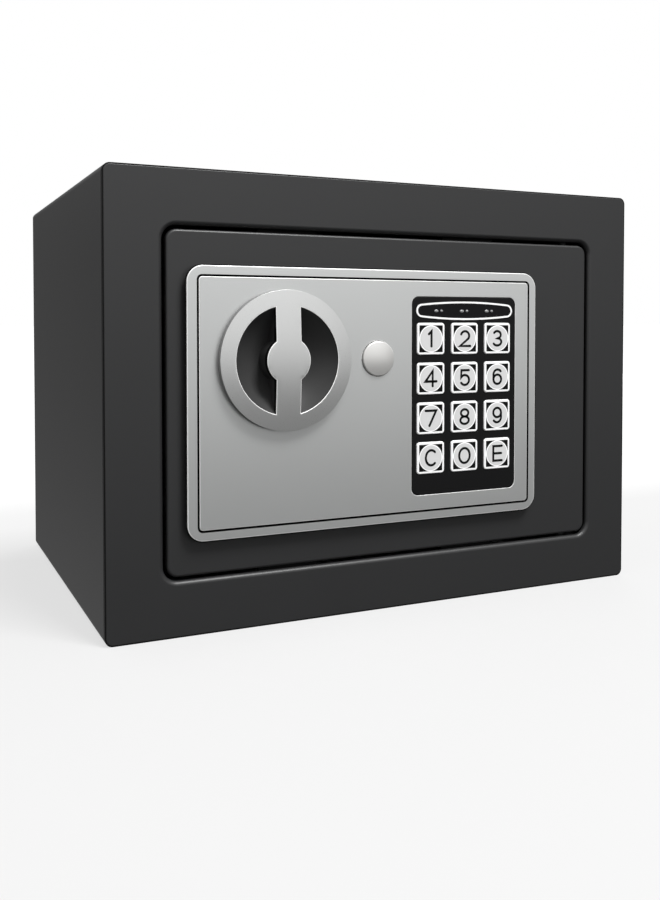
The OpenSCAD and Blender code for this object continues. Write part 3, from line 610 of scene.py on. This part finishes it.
well_hole = disc(dial.x, dial.z, well_r)
knob_hole = disc(dial.x, dial.z, knob_hole_r)
panel_outline = round_rect(panel.x, panel.z, panel.w, panel.h, panel_r)
panel_inside = round_rect(panel.x, panel.z, panel.w - 2 * panel_wall, panel.h - 2 * panel_wall,
                          panel_r - panel_wall)
cap_hole = disc(cap.x, cap.z, cap.w / 2 + 0.2)


def build_door():
    """The door plate, rounded on all sides, cut out behind the knob, the lock and the keypad."""
    corner_r, front_r, back_r = 4, 1.0, 0.4
    bm = bmesh.new()
    openings = [well_hole, disc(cap.x, cap.z, lock_hole_r), panel_inside]
    outside = round_rect(door.x, door.z, door.w, door.h, corner_r)
    walls = [(outside, edge(door.front, door.back, front_r, back_r, steps=6))]
    walls += [hole_of(outline, door.front, door.back, 0.2) for outline in openings]
    plate(bm, walls)
    finish_piece(bm, "door_skin", "door", ["door_plate"], [paint])


def build_bezel():
    """The moulded frame round the face plate, with painted shade down its sides and on the floor of the
    groove, and a painted highlight on its rounded front edge.
    """
    corner_r, groove_r = 6.5, 2
    trim, undercut = 0.4, 1.2
    bm = bmesh.new()
    groove = round_rect(tray.x, tray.z, tray.w + 2 * groove_w, tray.h + 2 * groove_w, groove_r)
    body = round_rect(bezel.x, bezel.z, bezel.w, bezel.h, corner_r)
    rim_front, rim_back = bezel.front + trim, bezel.front + 1.0
    # The rounded front edge takes the light edge material: a painted highlight.
    rounded = edge(bezel.front, rim_front, 0.3, arris=2)
    outside = [(grow - trim, depth, own) for grow, depth, own in rounded[:-1]]
    # From here a millimetre down the sides is near black: painted shade for the shadow under the
    # overhanging face; the undercut behind is in paint.
    outside.append((-trim, rim_front, 1))
    outside += [(-0.1, rim_front, 1), (0, rim_front + 0.1, 1), (0, rim_back, 1)]
    outside += [(-undercut, rim_back, 3), (-undercut, bezel.back, 3)]
    # The groove's wall and floor are near black: painted shade.
    plate(bm, [(body, outside), (groove, edge(bezel.front, bezel.back, 0, hole=True, side=1))])
    floor = [(0, tray.back), (0, bezel.back)]
    outlines = (groove, well_hole, cap_hole, panel_outline)
    plate(bm, [(outline, floor) for outline in outlines], material=1)
    materials = [silver, painted_shade_black, painted_edge_highlight, paint]
    finish_piece(bm, "fascia_frame", "door", ["fascia_bezel"], materials)


def build_face_plate():
    """The silver plate in the frame, with a painted highlight on its edges and painted shade down its
    sides.
    """
    corner_r, edge_r, hole_edge_r = 1.3, 0.2, 0.15
    bm = bmesh.new()
    body = round_rect(tray.x, tray.z, tray.w, tray.h, corner_r)
    # Edges in the light edge material, a painted highlight; sides near black, painted shade.
    rim = edge(tray.front, tray.back, hole_edge_r, hole=True, arris=1, side=2)
    walls = [(body, edge(tray.front, tray.back, edge_r, arris=1, side=2))]
    walls += [(outline, rim) for outline in (knob_hole, cap_hole, panel_outline)]
    plate(bm, walls)
    materials = [silver_plate, painted_edge_highlight, painted_shade_black]
    finish_piece(bm, "fascia_plate", "door", ["face_plate"], materials)


# ---------------------------------------------------------------- knob and cap


def build_dial():
    """Ring, bar and hub in one face that bulges a little towards the user."""
    ring_r, bar_half, hub_r, rise = 20.2, 4.925, 8.6, 1.5
    outer_r, face_pitch, bar_t = dial.w / 2, 1.6, 2.8
    sphere_r = (outer_r**2 + rise**2) / (2 * rise)

    def dome(x, z):
        d = (x - dial.x) ** 2 + (z - dial.z) ** 2
        return sphere_r - math.sqrt(max(sphere_r**2 - d, 0))

    bm = bmesh.new()
    # The outer side wall is in the dark grey side material, painted shade; the grip holes have a painted
    # highlight on their rounded edges and painted shade down their walls.
    outside = edge(dial.front, dial.back, 0.05, side=3)
    inner = edge(dial.front, dial.front + bar_t, 0.25, hole=True, arris=1, side=2)
    gaps = [(grip_hole(dial.x, dial.z, ring_r, bar_half, hub_r, side), inner) for side in (-1, 1)]
    plate(bm, [(disc(dial.x, dial.z, outer_r, 160), outside)] + gaps, rise=dome, pitch=face_pitch)
    materials = [silver_knob, painted_edge_highlight, painted_shade_black, knob_side_shade]
    finish_piece(bm, "knob_face", "knob", ["knob_dial"], materials)


def build_bowl():
    """The dished black well behind the dial, with the rib and the post that carry the bar and the hub."""
    bm = bmesh.new()
    rim_r, rim_depth, floor_depth, dish_r = 20.15, bowl.front, 3.6, 25.9
    centre = floor_depth - dish_r
    radii = [rim_r * i / 40 for i in range(41)]
    section = [(r, centre + math.sqrt(dish_r**2 - r * r)) for r in radii]
    section += [(rim_r + 0.02, rim_depth + 0.3), (rim_r + 0.02, dial.back)]
    section += [(bowl.w / 2, dial.back), (bowl.w / 2, bowl.back), (0, bowl.back)]
    turned(bm, dial.x, dial.z, section, 128)
    post_r, foot_r, rib_w = 8.3, 1.2, 9.4
    post = [(0, rim_depth), (post_r - 0.2, rim_depth)]
    post += [(post_r, rim_depth + 0.2), (post_r, floor_depth - foot_r)]
    for i in range(1, 6):
        a = math.pi / 2 * i / 5
        post.append((post_r + foot_r * (1 - math.cos(a)), floor_depth - foot_r + foot_r * math.sin(a)))
    post += [(post_r + foot_r, floor_depth + 0.6), (0, floor_depth + 0.6)]
    turned(bm, dial.x, dial.z, post, 96)
    rib = round_rect(dial.x, dial.z, rib_w, 2 * rim_r - 1.6, 0.4, 4)
    plate(bm, [(rib, edge(rim_depth + 0.02, floor_depth, 0.2))])
    finish_piece(bm, "knob_well", "knob", ["knob_bowl"], [black_smooth])


def build_cap():
    """The lock's round cap: a shallow dome with a rounded shoulder."""
    bm = bmesh.new()
    r, rise, shoulder_r = cap.w / 2, 0.8, 0.5
    sphere_r = (r * r + rise * rise) / (2 * rise)
    section = [(0, cap.front)]
    for i in range(1, 17):
        rho = (r - shoulder_r) * i / 16
        section.append((rho, cap.front + sphere_r - math.sqrt(sphere_r**2 - rho * rho)))
    shoulder = section[-1][1]
    for i in range(1, 7):
        a = math.pi / 2 * i / 6
        reach, drop = shoulder_r * math.sin(a), shoulder_r * (1 - math.cos(a))
        section.append((r - shoulder_r + reach, shoulder + drop))
    section += [(r, cap.back), (0, cap.back)]
    turned(bm, cap.x, cap.z, section, 96)
    finish_piece(bm, "lock_cap", "cap", ["override_cap"], [silver_cap])


# ---------------------------------------------------------------- keypad

KEYS = ["1", "2", "3", "4", "5", "6", "7", "8", "9", "c", "0", "e"]
GLYPH_W = 2.5
GLYPH_H = 3.0
STROKE = 0.96


def half_turn(points):
    """The points turned by 180 degrees about the key's centre."""
    return [(-x, -z) for x, z in points]


def glyph(label):
    """A figure's strokes about the key's centre, as (points, closed) pairs."""
    w, h = GLYPH_W, GLYPH_H
    hook = arc(0.1, 0.95, 2.0, 2.0, 40, 180) + arc(0, -1.05, 1.9, 1.9, 180, 181, 1)
    loop = arc(0, -1.05, 1.9, 1.9, 0, 345, 46)
    shapes = {
        "0": [(arc(0, 0, w, h, 0, 352, 44), True)],
        "1": [([(-1.05, 1.9), (0.15, h), (0.15, -h)], False)],
        "2": [(arc(0.05, 1.05, 1.95, 1.9, 160, -35) + [(-w + 0.2, -h), (w, -h)], False)],
        "3": [(arc(-0.15, 1.45, 1.75, 1.5, 150, -90) + arc(-0.15, -1.45, 2.0, 1.5, 90, -150)[1:], False)],
        "4": [([(0.75, -h), (0.75, h), (-w - 0.1, -1.15), (w, -1.15)], False)],
        "5": [([(1.9, h), (-1.6, h), (-1.75, 0.1)] + arc(0, -0.95, 2.05, 2.0, 145, -145)[1:], False)],
        "6": [(hook, False), (loop, True)],
        "7": [([(-w + 0.1, h), (w - 0.1, h), (-0.7, -h)], False)],
        "8": [(arc(0, 1.5, 1.75, 1.45, 0, 352, 44), True), (arc(0, -1.45, 2.0, 1.5, 0, 352, 44), True)],
        "9": [(half_turn(hook), False), (half_turn(loop), True)],
        "c": [(arc(0.2, 0, 2.5, h, 48, 312, 32), False)],
        "e": [
            ([(w - 0.1, h), (-1.8, h), (-1.8, -h), (w - 0.1, -h)], False),
            ([(-1.8, 0), (w - 0.4, 0)], False),
        ],
    }
    return shapes[label]


def build_key(label):
    """A white key with a grey disc, black corners and a black figure, all on its face."""
    node = "key_" + label
    key = place(node)
    face = key.front
    body_t, flange_t, disc_r, corner, ring_r = 2.6, 0.8, 4.95, 5.35, 5.37
    disc_up, corner_up, figure_up = 0.03, 0.02, 0.07
    bm = bmesh.new()
    body = round_rect(key.x, key.z, key_size, key_size, key_r, 6)
    plate(bm, [(body, edge(face, face + body_t, 0.35))])
    skirt = round_rect(key.x, key.z, key.w, key.w, key_r, 6)
    plate(bm, [(skirt, edge(key.back - flange_t, key.back, 0.1))])
    plate(bm, [(disc(key.x, key.z, disc_r, 64), edge(face - disc_up, face + 0.2, 0.03))], material=1)
    reach = math.degrees(math.acos(corner / ring_r))
    curve = [(corner, corner)] + arc(0, 0, ring_r, ring_r, 90 - reach, reach, 12)
    for i, j in ((1, 1), (-1, 1), (-1, -1), (1, -1)):
        patch = fixed([(key.x + i * x, key.z + j * z) for x, z in curve])
        plate(bm, [(patch, [(0, face - corner_up), (0, face + 0.2)])], material=2)
    for points, closed in glyph(label):
        moved = [(key.x + x, key.z + z) for x, z in points]
        ribbon(bm, moved, STROKE, face - figure_up, face + 0.1, material=2, closed=closed)
    finish_piece(bm, "keytop_" + label, node + "_body", [node], [key_white, key_grey, ink])


def build_panel():
    """The black keypad panel with its key holes and the shallow bed of the lamp window."""
    web, hole_size, hole_r = panel.front + 2, key_size + 0.3, 1.4
    bm = bmesh.new()
    walls = [(panel_outline, edge(panel.front, web, 0.5))]
    for label in KEYS:
        key = place("key_" + label)
        hole = round_rect(key.x, key.z, hole_size, hole_size, hole_r, 6)
        walls.append(hole_of(hole, panel.front, web, 0.25))
    bed = lens(window.x, window.z, window.w + 0.1, window_h, window_r + 0.05)
    walls.append(hole_of(bed, panel.front, web, 0.2))
    plate(bm, walls)
    skirt = [(0, web - 0.01), (0, door.front)]
    plate(bm, [(panel_outline, skirt), (panel_inside, skirt)])
    finish_piece(bm, "keypad_face", "door", ["keypad_panel"], [black_satin])


def lamp_dome(r, rise=0.3, steps=6):
    """A low dome's section, from its crown to its flat back."""
    turns = [math.pi / 2 * i / steps for i in range(1, steps + 1)]
    return [(0, -rise)] + [(r * math.sin(a), -rise * math.cos(a)) for a in turns] + [(0, 0.05)]


def build_window():
    """The smoked window, a thin white line round it, and three small lamps set into it."""
    bm = bmesh.new()
    pane = lens(window.x, window.z, window.w, window_h, window_r)
    plate(bm, [(pane, edge(window.front, window.back, 0.25))])
    line, line_out, line_front = 0.7, 0.25, window.front - 0.06
    outer = [(line_out, line_front), (line_out, window.back)]
    inner = [(line_out - line, line_front), (line_out - line, window.back)]
    plate(bm, [(pane, outer), (pane, inner)], material=1)
    finish_piece(bm, "lamp_window", "door", ["led_window"], [smoke, print_white])
    for index, x in enumerate((lamps.left + 1.5, lamps.x, lamps.right - 1.5)):
        build_lamp(f"lamp_{index + 1}", x)


def build_lamp(name, x):
    """A large and a small dome side by side, each squeezed to an oval: (offset, radius, height, oval)."""
    bm = bmesh.new()
    for aside, r, up, oval in ((-0.9, 0.95, -0.145, 0.6), (1.5, 0.6, -0.07, 0.85)):
        part = bmesh.new()
        turned(part, 0, 0, lamp_dome(r), 24)
        shift = Matrix.Translation((x + aside, window.front, window.z + up))
        join(bm, part, shift @ Matrix.Diagonal((1, 1, oval, 1)))
    finish_piece(bm, name, "door", materials=[lamp_grey])


# ---------------------------------------------------------------- the door's inner side


def dress_inside():
    """Materials for the lock, the electronics and the battery box, which keep the CAD's shapes."""
    dress("hinge_barrels", paint, 0.25)
    dress("lock_cover", cover_paint, 0.5)
    dress("battery_box", black_moulding, 0.2)
    dress("battery_cover", black_moulding, 0.35)
    dress("reset_switch", black_moulding, 0.15)
    dress("reset_button", button_red, 0.3)
    dress("knob_bushing", acetal, 0.1)
    dress("keypad_membrane", rubber, 0.1)
    dress("circuit_board", board, 0.1)
    dress("buzzer", black_moulding, 0.3)
    dress("status_leds", lamp_grey, 0)
    dress("solenoid_coil", amber, 0.3)
    dress("lock_barrel", chrome, 0.15)
    dress("lock_plug", brass, 0.15)
    # The bolts are dark zinc, and also dark so that they read as shade in the door gap.
    for node in ("bolt_upper", "bolt_lower"):
        dress(node, dark_zinc_and_gap_shade, 0.25)
    dress("bolt_guide", dark_zinc_and_gap_shade, 0.2)
    dress("solenoid_plunger", steel, 0.25)
    for node in ("guide_studs", "cover_posts", "cover_screws", "solenoid_frame", "lock_nut",
                 "drive_cam", "cam_screws", "bolt_carriage", "bolt_screws", "lock_cam"):
        dress(node, zinc, 0.2)
    dress("battery_contacts", chrome, 0.1)
    dress("wiring", sleeve_red, 0)
    for node in ("plunger_spring", "reset_spring"):
        dress(node, steel, 0)


def build_batteries():
    """Four cells side by side, each turned about: a sleeve, rolled over bare steel ends, and a button."""
    r, depth = (cells.h - 3 * cell_pitch) / 2, (cells.front + cells.back) / 2
    length, button_r, button = cells.w - 2, 2.7, 1.0
    corner = [(r - 1.1, 0.25), (r - 1.1, 0), (r - 0.4, 0), (r - 0.12, 0.12), (r, 0.4)]
    sleeve = corner + [(radius, length - along) for radius, along in reversed(corner)]
    caps = [(0, 0.12), (r - 1.0, 0.12), (r - 1.0, length - 0.15), (button_r, length - 0.15)]
    caps += [(button_r, length + button - 0.3), (button_r - 0.3, length + button), (0, length + button)]
    bm = bmesh.new()
    for i in range(4):
        cell = bmesh.new()
        turned(cell, 0, 0, caps, 48)
        turned(cell, 0, 0, sleeve + sleeve[:1], 64, material=1)
        side = 1 if i % 2 == 0 else -1
        end_x, z = cells.x - side * (length + button) / 2, cells.z + (i - 1.5) * cell_pitch
        lay = Matrix.Translation((end_x, depth, z))
        join(bm, cell, lay @ Matrix.Rotation(math.radians(-90 * side), 4, "Z"))
    finish_piece(bm, "cell_set", "door", ["batteries"], [zinc, cell_blue])


# ---------------------------------------------------------------- stage


def curve_along(nodes, links, source, stops):
    """A value that follows the stops, (from -1 to 1, value), in straight lines."""
    place_on = nodes.new("ShaderNodeMapRange")
    place_on.inputs["From Min"].default_value = -1
    links.new(source, place_on.inputs["Value"])
    node = nodes.new("ShaderNodeFloatCurve")
    points = node.mapping.curves[0].points
    for i, (x, value) in enumerate(stops):
        if i in (0, len(stops) - 1):
            points[-1 if i else 0].location = ((x + 1) / 2, value)
        else:
            points.new((x + 1) / 2, value)
    for point in points:
        point.handle_type = "VECTOR"
    node.mapping.update()
    links.new(place_on.outputs["Result"], node.inputs["Value"])
    return node.outputs["Value"]


def past(nodes, links, source, middle, reach):
    """1 where the value is further than reach from the middle, else 0; both are in millimetres."""
    away = math_node(nodes, links, "SUBTRACT", source, middle * MM)
    away = math_node(nodes, links, "MAXIMUM", away, math_node(nodes, links, "MULTIPLY", away, -1))
    return math_node(nodes, links, "GREATER_THAN", away, reach * MM)


# The glow along y, as (y in metres, strength).
FLOOR_GLOW = ((-1, 1.0), (-0.35, 0.66), (0.055, 0.66), (0.13, 0.80), (0.9, 1.0), (1, 1.0))


def floor_material():
    """Pale, with a glow that keeps its shadows light and turns it white far off.

    The glow stops under the cabinet, so that its anchor holes look dark.
    """
    material = surface("floor_white", (0.14, 0.14, 0.14), 0.7, tint=0.01, grain=60, relief=0.01,
                       specular=0.0)
    nodes, links = material.node_tree.nodes, material.node_tree.links
    where = nodes.new("ShaderNodeSeparateXYZ")
    links.new(nodes.new("ShaderNodeTexCoord").outputs["Object"], where.inputs["Vector"])
    glow = curve_along(nodes, links, where.outputs["Y"], FLOOR_GLOW)
    middle_y, half_y = (shell.front + shell.back) / 2 + FRONT / MM, (shell.back - shell.front) / 2
    inset = 4
    past_side = past(nodes, links, where.outputs["X"], shell.x, shell.w / 2 - inset)
    past_end = past(nodes, links, where.outputs["Y"], middle_y, half_y - inset)
    outside = math_node(nodes, links, "MAXIMUM", past_side, past_end)
    shader = nodes["Principled BSDF"]
    shader.inputs["Emission Color"].default_value = (1, 1, 1, 1)
    links.new(math_node(nodes, links, "MULTIPLY", glow, outside), shader.inputs["Emission Strength"])
    return material


def build_stage():
    """A wide floor that only the camera sees, so that its glow lights nothing."""
    bm = bmesh.new()
    reach = 30.0
    for x, y in ((-reach, -reach), (reach, -reach), (reach, reach), (-reach, reach)):
        bm.verts.new((x, y, 0))
    bm.faces.new(bm.verts)
    mesh = bpy.data.meshes.new("floor")
    bm.to_mesh(mesh)
    bm.free()
    mesh.materials.append(floor_material())
    floor = bpy.data.objects.new("floor", mesh)
    bpy.context.scene.collection.objects.link(floor)
    floor.visible_diffuse = False
    floor.visible_glossy = False


def area_light(name, location, target, size, power):
    """A square lamp, in metres and watts, turned towards its target."""
    data = bpy.data.lights.new(name, "AREA")
    data.shape = "SQUARE"
    data.size = size
    data.energy = power
    lamp = bpy.data.objects.new(name, data)
    lamp.location = location
    lamp.rotation_euler = (Vector(target) - Vector(location)).to_track_quat("-Z", "Y").to_euler()
    bpy.context.scene.collection.objects.link(lamp)


# The sky's light by height in front and behind, its share by side, and the turn from front to behind,
# each as (direction from -1 to 1, value).
SKY_FRONT = ((-1, 0.095), (-0.12, 0.095), (-0.025, 1.0), (0.3, 1.12), (1, 1.12))
SKY_BEHIND = ((-1, 0.5), (-0.5, 0.5), (-0.15, 0.24), (0.1, 0.18), (0.7, 1.0), (1, 1.0))
SKY_ACROSS = ((-1, 0.9), (-0.6, 0.9), (-0.3, 1.0), (0.6, 1.0),
              (0.84, 0.1), (0.93, 0.1), (0.98, 1.0), (1, 1.0))
SKY_TURN = ((-1, 0), (-0.1, 0), (0.3, 1), (1, 1))


def build_world():
    """White to look at; as light, bright in front above the horizon and dim behind, below and far right."""
    world = bpy.data.worlds.new("studio")
    bpy.context.scene.world = world
    world.use_nodes = True
    nodes, links = world.node_tree.nodes, world.node_tree.links
    way = nodes.new("ShaderNodeSeparateXYZ")
    links.new(nodes.new("ShaderNodeTexCoord").outputs["Generated"], way.inputs["Vector"])
    glow = nodes.new("ShaderNodeMix")
    links.new(curve_along(nodes, links, way.outputs["Y"], SKY_TURN), glow.inputs["Factor"])
    links.new(curve_along(nodes, links, way.outputs["Z"], SKY_FRONT), glow.inputs["A"])
    links.new(curve_along(nodes, links, way.outputs["Z"], SKY_BEHIND), glow.inputs["B"])
    across = curve_along(nodes, links, way.outputs["X"], SKY_ACROSS)
    dim = math_node(nodes, links, "MULTIPLY", glow.outputs["Result"], across)
    light = nodes["Background"]
    light.inputs["Color"].default_value = (1, 1, 1, 1)
    links.new(dim, light.inputs["Strength"])
    seen = nodes.new("ShaderNodeBackground")
    seen.inputs["Color"].default_value = (1, 1, 1, 1)
    mix = nodes.new("ShaderNodeMixShader")
    links.new(nodes.new("ShaderNodeLightPath").outputs["Is Camera Ray"], mix.inputs["Fac"])
    links.new(light.outputs["Background"], mix.inputs[1])
    links.new(seen.outputs["Background"], mix.inputs[2])
    links.new(mix.outputs["Shader"], nodes["World Output"].inputs["Surface"])


def build_lights():
    area_light("overhead", location=(0.35, -0.9, 1.5), target=(0, -0.05, 0.05), size=0.6, power=36)
    area_light("behind", location=(1.1, 1.3, 0.4), target=(0, 0, 0.08), size=0.8, power=14)
    bpy.context.scene.view_settings.view_transform = "Standard"


def build_camera():
    """To the left of the front and level with the upper keys, looking back at the door."""
    data = bpy.data.cameras.new("camera")
    data.lens = 38.083
    data.sensor_width = 36
    data.shift_y = -0.1105
    data.clip_start = 0.01
    camera = bpy.data.objects.new("camera", data)
    camera.location = (-0.18203, -0.41423, 0.11291)
    camera.rotation_euler = (math.radians(88.321), 0, math.radians(-24.924))
    bpy.context.scene.collection.objects.link(camera)
    bpy.context.scene.camera = camera


# ---------------------------------------------------------------- the scene

build_camera()
build_stage()
build_world()
build_lights()
build_front_frame()
dress_cabinet()
build_floor_mat()
build_door()
build_bezel()
build_face_plate()
build_dial()
build_bowl()
build_cap()
build_panel()
build_window()
for key_label in KEYS:
    build_key(key_label)
dress_inside()
build_batteries()
